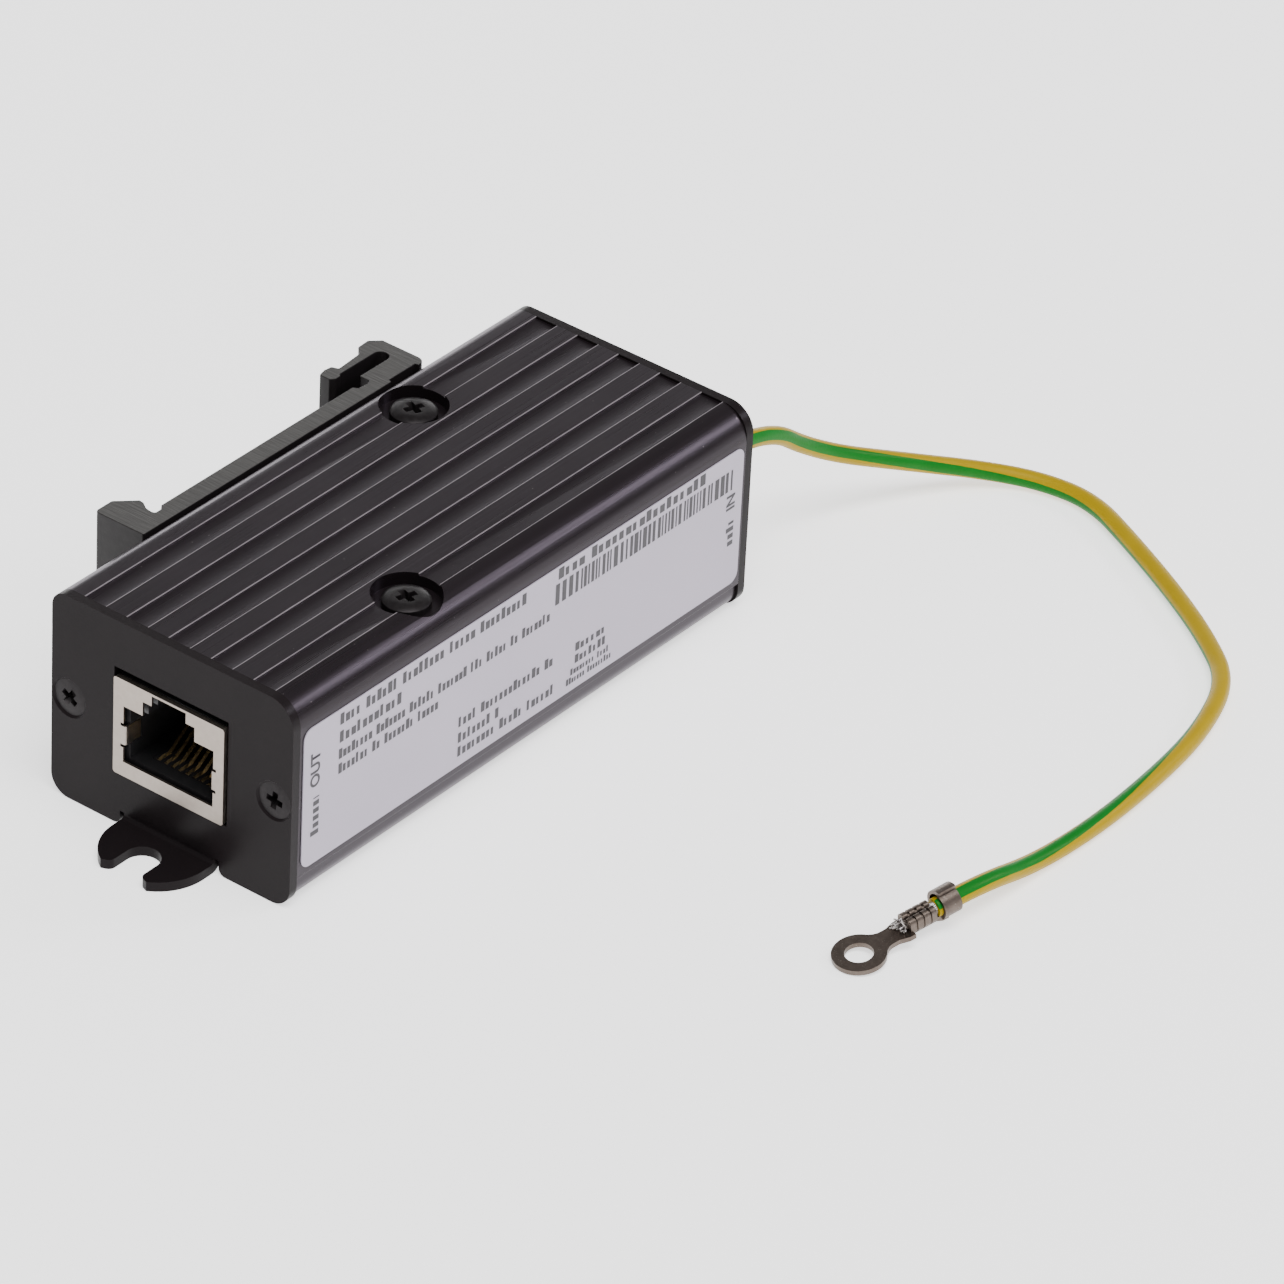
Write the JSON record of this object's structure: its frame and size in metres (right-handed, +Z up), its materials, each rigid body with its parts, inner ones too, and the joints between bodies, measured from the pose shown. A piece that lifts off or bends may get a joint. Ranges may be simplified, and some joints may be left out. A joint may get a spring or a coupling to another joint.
{
  "type": "ethernet surge protector",
  "caption": "Inline network surge protector: grooved black aluminium box with jacked ends, slotted feet, a side rail clip and a green-yellow earth lead with ring terminal.",
  "frame": {"origin": "centre of the housing's underside", "axes": "+X along the housing towards the equipment end, where the earth lead leaves; +Y towards the rail clip; +Z up"},
  "size_m": [0.1307, 0.0987, 0.0263],
  "materials": {
    "housing": "satin black anodised",
    "end_plates": "matte black painted steel sheet",
    "clip": "matte black anodised, sawn ends",
    "black_screws": "blackened steel",
    "shield": "nickel-plated brass",
    "black_plastic": "moulded black",
    "gold": "gold-plated",
    "ceramic": "white ceramic with metal caps",
    "board": "green solder mask",
    "brass": "turned brass",
    "label": "silver film",
    "rubber": "black rubber",
    "lead": "green and yellow insulation",
    "tinned_copper": "dull tinned copper",
    "copper": "tinned copper strands"
  },
  "bodies": {
    "root": {"housing_tube": "housing", "end_plate_out": "end_plates", "end_plate_in": "end_plates", "end_plate_screws": "black_screws", "board_screws": "black_screws", "board_standoffs": "brass", "circuit_board": "board", "jack_shield_out": "shield", "jack_shield_in": "shield", "jack_insert_out": "black_plastic", "jack_insert_in": "black_plastic", "contact_comb_out": "black_plastic", "contact_comb_in": "black_plastic", "jack_contacts_out": "gold", "jack_contacts_in": "gold", "gas_discharge_tubes": "ceramic", "clamping_diodes": "black_plastic", "din_clip": "clip", "din_clip_screws": "black_screws", "rating_label": "label", "earth_post": "brass", "lead_grommet": "rubber", "earth_lead": "lead", "ring_terminal": "tinned_copper", "lead_strands": "copper"}
  },
  "joints": []
}
